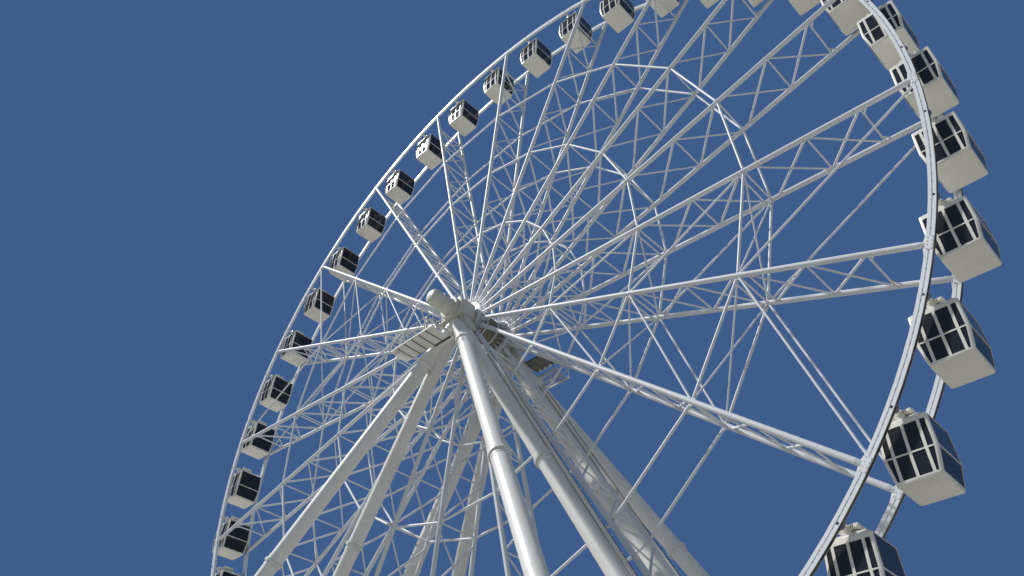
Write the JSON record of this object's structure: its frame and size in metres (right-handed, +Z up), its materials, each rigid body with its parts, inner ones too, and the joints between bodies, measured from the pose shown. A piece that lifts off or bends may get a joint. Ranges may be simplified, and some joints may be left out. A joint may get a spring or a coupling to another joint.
{
  "type": "scale model of a ferris wheel at half size",
  "caption": "Large transportable observation wheel on splayed tubular legs, with trussed spokes, twin rims and closed cabins that stay level as it turns.",
  "frame": {"origin": "on the ground under the middle of the hub", "axes": "+Z up, +Y along the wheel's axle to the back, +X to the right seen from the front"},
  "size_m": [27.6838, 12.14, 29.5551],
  "materials": {
    "frame_steel": "satin white paint",
    "rim_steel": "satin white paint",
    "support_steel": "satin white paint",
    "cabin_shell": "gloss cream white",
    "cabin_glass": "dark tinted",
    "fittings": "satin grey"
  },
  "bodies": {
    "support": {"front_head": "support_steel", "back_head": "support_steel", "slip_ring_housing": "support_steel", "front_platform": "support_steel", "back_platform": "support_steel", "front_left_outer_leg": "support_steel", "front_left_inner_leg": "support_steel", "front_right_outer_leg": "support_steel", "front_right_inner_leg": "support_steel", "back_left_outer_leg": "support_steel", "back_left_inner_leg": "support_steel", "back_right_outer_leg": "support_steel", "back_right_inner_leg": "support_steel"},
    "wheel": {"hub_drum": "frame_steel", "front_rim": "rim_steel", "back_rim": "rim_steel", "spoke_frame_1": "frame_steel", "spoke_frame_2": "frame_steel", "spoke_frame_3": "frame_steel", "spoke_frame_4": "frame_steel"},
    "cabin_01": {"cabin_01": "cabin_shell"},
    "cabin_02": {"cabin_02": "cabin_shell"},
    "cabin_03": {"cabin_03": "cabin_shell"},
    "cabin_04": {"cabin_04": "cabin_shell"},
    "cabin_05": {"cabin_05": "cabin_shell"},
    "cabin_06": {"cabin_06": "cabin_shell"},
    "cabin_07": {"cabin_07": "cabin_shell"},
    "cabin_08": {"cabin_08": "cabin_shell"},
    "cabin_09": {"cabin_09": "cabin_shell"},
    "cabin_10": {"cabin_10": "cabin_shell"},
    "cabin_11": {"cabin_11": "cabin_shell"},
    "cabin_12": {"cabin_12": "cabin_shell"},
    "cabin_13": {"cabin_13": "cabin_shell"},
    "cabin_14": {"cabin_14": "cabin_shell"},
    "cabin_15": {"cabin_15": "cabin_shell"},
    "cabin_16": {"cabin_16": "cabin_shell"},
    "cabin_17": {"cabin_17": "cabin_shell"},
    "cabin_18": {"cabin_18": "cabin_shell"},
    "cabin_19": {"cabin_19": "cabin_shell"},
    "cabin_20": {"cabin_20": "cabin_shell"},
    "cabin_21": {"cabin_21": "cabin_shell"},
    "cabin_22": {"cabin_22": "cabin_shell"},
    "cabin_23": {"cabin_23": "cabin_shell"},
    "cabin_24": {"cabin_24": "cabin_shell"},
    "cabin_25": {"cabin_25": "cabin_shell"},
    "cabin_26": {"cabin_26": "cabin_shell"},
    "cabin_27": {"cabin_27": "cabin_shell"},
    "cabin_28": {"cabin_28": "cabin_shell"},
    "cabin_29": {"cabin_29": "cabin_shell"},
    "cabin_30": {"cabin_30": "cabin_shell"},
    "cabin_31": {"cabin_31": "cabin_shell"},
    "cabin_32": {"cabin_32": "cabin_shell"},
    "cabin_33": {"cabin_33": "cabin_shell"},
    "cabin_34": {"cabin_34": "cabin_shell"},
    "cabin_35": {"cabin_35": "cabin_shell"},
    "cabin_36": {"cabin_36": "cabin_shell"},
    "cabin_37": {"cabin_37": "cabin_shell"},
    "cabin_38": {"cabin_38": "cabin_shell"},
    "cabin_39": {"cabin_39": "cabin_shell"},
    "cabin_40": {"cabin_40": "cabin_shell"}
  },
  "joints": [
    {"name": "wheel_spin", "type": "hinge", "parent": "support", "child": "wheel", "pos_m": [0, 0, 16.09], "axis": [0, 1, 0], "continuous": true},
    {"name": "cabin_01_pivot", "type": "hinge", "parent": "wheel", "child": "cabin_01", "pos_m": [10.8683, 0, 8.26018], "axis": [0, 1, 0], "continuous": true},
    {"name": "cabin_02_pivot", "type": "hinge", "parent": "wheel", "child": "cabin_02", "pos_m": [11.95935, 0, 10.05676], "axis": [0, 1, 0], "continuous": true},
    {"name": "cabin_03_pivot", "type": "hinge", "parent": "wheel", "child": "cabin_03", "pos_m": [12.75592, 0, 12.00189], "axis": [0, 1, 0], "continuous": true},
    {"name": "cabin_04_pivot", "type": "hinge", "parent": "wheel", "child": "cabin_04", "pos_m": [13.23839, 0, 14.04769], "axis": [0, 1, 0], "continuous": true},
    {"name": "cabin_05_pivot", "type": "hinge", "parent": "wheel", "child": "cabin_05", "pos_m": [13.39489, 0, 16.14377], "axis": [0, 1, 0], "continuous": true},
    {"name": "cabin_06_pivot", "type": "hinge", "parent": "wheel", "child": "cabin_06", "pos_m": [13.22157, 0, 18.23853], "axis": [0, 1, 0], "continuous": true},
    {"name": "cabin_07_pivot", "type": "hinge", "parent": "wheel", "child": "cabin_07", "pos_m": [12.72268, 0, 20.28039], "axis": [0, 1, 0], "continuous": true},
    {"name": "cabin_08_pivot", "type": "hinge", "parent": "wheel", "child": "cabin_08", "pos_m": [11.91052, 0, 22.21906], "axis": [0, 1, 0], "continuous": true},
    {"name": "cabin_09_pivot", "type": "hinge", "parent": "wheel", "child": "cabin_09", "pos_m": [10.80509, 0, 24.00682], "axis": [0, 1, 0], "continuous": true},
    {"name": "cabin_10_pivot", "type": "hinge", "parent": "wheel", "child": "cabin_10", "pos_m": [9.4336, 0, 25.59964], "axis": [0, 1, 0], "continuous": true},
    {"name": "cabin_11_pivot", "type": "hinge", "parent": "wheel", "child": "cabin_11", "pos_m": [7.82982, 0, 26.9583], "axis": [0, 1, 0], "continuous": true},
    {"name": "cabin_12_pivot", "type": "hinge", "parent": "wheel", "child": "cabin_12", "pos_m": [6.03324, 0, 28.04935], "axis": [0, 1, 0], "continuous": true},
    {"name": "cabin_13_pivot", "type": "hinge", "parent": "wheel", "child": "cabin_13", "pos_m": [4.08811, 0, 28.84592], "axis": [0, 1, 0], "continuous": true},
    {"name": "cabin_14_pivot", "type": "hinge", "parent": "wheel", "child": "cabin_14", "pos_m": [2.04231, 0, 29.32839], "axis": [0, 1, 0], "continuous": true},
    {"name": "cabin_15_pivot", "type": "hinge", "parent": "wheel", "child": "cabin_15", "pos_m": [-0.05377, 0, 29.48489], "axis": [0, 1, 0], "continuous": true},
    {"name": "cabin_16_pivot", "type": "hinge", "parent": "wheel", "child": "cabin_16", "pos_m": [-2.14853, 0, 29.31157], "axis": [0, 1, 0], "continuous": true},
    {"name": "cabin_17_pivot", "type": "hinge", "parent": "wheel", "child": "cabin_17", "pos_m": [-4.19039, 0, 28.81268], "axis": [0, 1, 0], "continuous": true},
    {"name": "cabin_18_pivot", "type": "hinge", "parent": "wheel", "child": "cabin_18", "pos_m": [-6.12906, 0, 28.00052], "axis": [0, 1, 0], "continuous": true},
    {"name": "cabin_19_pivot", "type": "hinge", "parent": "wheel", "child": "cabin_19", "pos_m": [-7.91682, 0, 26.89509], "axis": [0, 1, 0], "continuous": true},
    {"name": "cabin_20_pivot", "type": "hinge", "parent": "wheel", "child": "cabin_20", "pos_m": [-9.50964, 0, 25.5236], "axis": [0, 1, 0], "continuous": true},
    {"name": "cabin_21_pivot", "type": "hinge", "parent": "wheel", "child": "cabin_21", "pos_m": [-10.8683, 0, 23.91982], "axis": [0, 1, 0], "continuous": true},
    {"name": "cabin_22_pivot", "type": "hinge", "parent": "wheel", "child": "cabin_22", "pos_m": [-11.95935, 0, 22.12324], "axis": [0, 1, 0], "continuous": true},
    {"name": "cabin_23_pivot", "type": "hinge", "parent": "wheel", "child": "cabin_23", "pos_m": [-12.75592, 0, 20.17811], "axis": [0, 1, 0], "continuous": true},
    {"name": "cabin_24_pivot", "type": "hinge", "parent": "wheel", "child": "cabin_24", "pos_m": [-13.23839, 0, 18.13231], "axis": [0, 1, 0], "continuous": true},
    {"name": "cabin_25_pivot", "type": "hinge", "parent": "wheel", "child": "cabin_25", "pos_m": [-13.39489, 0, 16.03623], "axis": [0, 1, 0], "continuous": true},
    {"name": "cabin_26_pivot", "type": "hinge", "parent": "wheel", "child": "cabin_26", "pos_m": [-13.22157, 0, 13.94147], "axis": [0, 1, 0], "continuous": true},
    {"name": "cabin_27_pivot", "type": "hinge", "parent": "wheel", "child": "cabin_27", "pos_m": [-12.72268, 0, 11.89961], "axis": [0, 1, 0], "continuous": true},
    {"name": "cabin_28_pivot", "type": "hinge", "parent": "wheel", "child": "cabin_28", "pos_m": [-11.91052, 0, 9.96094], "axis": [0, 1, 0], "continuous": true},
    {"name": "cabin_29_pivot", "type": "hinge", "parent": "wheel", "child": "cabin_29", "pos_m": [-10.80509, 0, 8.17318], "axis": [0, 1, 0], "continuous": true},
    {"name": "cabin_30_pivot", "type": "hinge", "parent": "wheel", "child": "cabin_30", "pos_m": [-9.4336, 0, 6.58036], "axis": [0, 1, 0], "continuous": true},
    {"name": "cabin_31_pivot", "type": "hinge", "parent": "wheel", "child": "cabin_31", "pos_m": [-7.82982, 0, 5.2217], "axis": [0, 1, 0], "continuous": true},
    {"name": "cabin_32_pivot", "type": "hinge", "parent": "wheel", "child": "cabin_32", "pos_m": [-6.03324, 0, 4.13065], "axis": [0, 1, 0], "continuous": true},
    {"name": "cabin_33_pivot", "type": "hinge", "parent": "wheel", "child": "cabin_33", "pos_m": [-4.08811, 0, 3.33408], "axis": [0, 1, 0], "continuous": true},
    {"name": "cabin_34_pivot", "type": "hinge", "parent": "wheel", "child": "cabin_34", "pos_m": [-2.04231, 0, 2.85161], "axis": [0, 1, 0], "continuous": true},
    {"name": "cabin_35_pivot", "type": "hinge", "parent": "wheel", "child": "cabin_35", "pos_m": [0.05377, 0, 2.69511], "axis": [0, 1, 0], "continuous": true},
    {"name": "cabin_36_pivot", "type": "hinge", "parent": "wheel", "child": "cabin_36", "pos_m": [2.14853, 0, 2.86843], "axis": [0, 1, 0], "continuous": true},
    {"name": "cabin_37_pivot", "type": "hinge", "parent": "wheel", "child": "cabin_37", "pos_m": [4.19039, 0, 3.36732], "axis": [0, 1, 0], "continuous": true},
    {"name": "cabin_38_pivot", "type": "hinge", "parent": "wheel", "child": "cabin_38", "pos_m": [6.12906, 0, 4.17948], "axis": [0, 1, 0], "continuous": true},
    {"name": "cabin_39_pivot", "type": "hinge", "parent": "wheel", "child": "cabin_39", "pos_m": [7.91682, 0, 5.28491], "axis": [0, 1, 0], "continuous": true},
    {"name": "cabin_40_pivot", "type": "hinge", "parent": "wheel", "child": "cabin_40", "pos_m": [9.50964, 0, 6.6564], "axis": [0, 1, 0], "continuous": true}
  ],
  "couplings": [
    {"joint": "cabin_01_pivot", "follows": "wheel_spin", "ratio": -1},
    {"joint": "cabin_02_pivot", "follows": "wheel_spin", "ratio": -1},
    {"joint": "cabin_03_pivot", "follows": "wheel_spin", "ratio": -1},
    {"joint": "cabin_04_pivot", "follows": "wheel_spin", "ratio": -1},
    {"joint": "cabin_05_pivot", "follows": "wheel_spin", "ratio": -1},
    {"joint": "cabin_06_pivot", "follows": "wheel_spin", "ratio": -1},
    {"joint": "cabin_07_pivot", "follows": "wheel_spin", "ratio": -1},
    {"joint": "cabin_08_pivot", "follows": "wheel_spin", "ratio": -1},
    {"joint": "cabin_09_pivot", "follows": "wheel_spin", "ratio": -1},
    {"joint": "cabin_10_pivot", "follows": "wheel_spin", "ratio": -1},
    {"joint": "cabin_11_pivot", "follows": "wheel_spin", "ratio": -1},
    {"joint": "cabin_12_pivot", "follows": "wheel_spin", "ratio": -1},
    {"joint": "cabin_13_pivot", "follows": "wheel_spin", "ratio": -1},
    {"joint": "cabin_14_pivot", "follows": "wheel_spin", "ratio": -1},
    {"joint": "cabin_15_pivot", "follows": "wheel_spin", "ratio": -1},
    {"joint": "cabin_16_pivot", "follows": "wheel_spin", "ratio": -1},
    {"joint": "cabin_17_pivot", "follows": "wheel_spin", "ratio": -1},
    {"joint": "cabin_18_pivot", "follows": "wheel_spin", "ratio": -1},
    {"joint": "cabin_19_pivot", "follows": "wheel_spin", "ratio": -1},
    {"joint": "cabin_20_pivot", "follows": "wheel_spin", "ratio": -1},
    {"joint": "cabin_21_pivot", "follows": "wheel_spin", "ratio": -1},
    {"joint": "cabin_22_pivot", "follows": "wheel_spin", "ratio": -1},
    {"joint": "cabin_23_pivot", "follows": "wheel_spin", "ratio": -1},
    {"joint": "cabin_24_pivot", "follows": "wheel_spin", "ratio": -1},
    {"joint": "cabin_25_pivot", "follows": "wheel_spin", "ratio": -1},
    {"joint": "cabin_26_pivot", "follows": "wheel_spin", "ratio": -1},
    {"joint": "cabin_27_pivot", "follows": "wheel_spin", "ratio": -1},
    {"joint": "cabin_28_pivot", "follows": "wheel_spin", "ratio": -1},
    {"joint": "cabin_29_pivot", "follows": "wheel_spin", "ratio": -1},
    {"joint": "cabin_30_pivot", "follows": "wheel_spin", "ratio": -1},
    {"joint": "cabin_31_pivot", "follows": "wheel_spin", "ratio": -1},
    {"joint": "cabin_32_pivot", "follows": "wheel_spin", "ratio": -1},
    {"joint": "cabin_33_pivot", "follows": "wheel_spin", "ratio": -1},
    {"joint": "cabin_34_pivot", "follows": "wheel_spin", "ratio": -1},
    {"joint": "cabin_35_pivot", "follows": "wheel_spin", "ratio": -1},
    {"joint": "cabin_36_pivot", "follows": "wheel_spin", "ratio": -1},
    {"joint": "cabin_37_pivot", "follows": "wheel_spin", "ratio": -1},
    {"joint": "cabin_38_pivot", "follows": "wheel_spin", "ratio": -1},
    {"joint": "cabin_39_pivot", "follows": "wheel_spin", "ratio": -1},
    {"joint": "cabin_40_pivot", "follows": "wheel_spin", "ratio": -1}
  ]
}
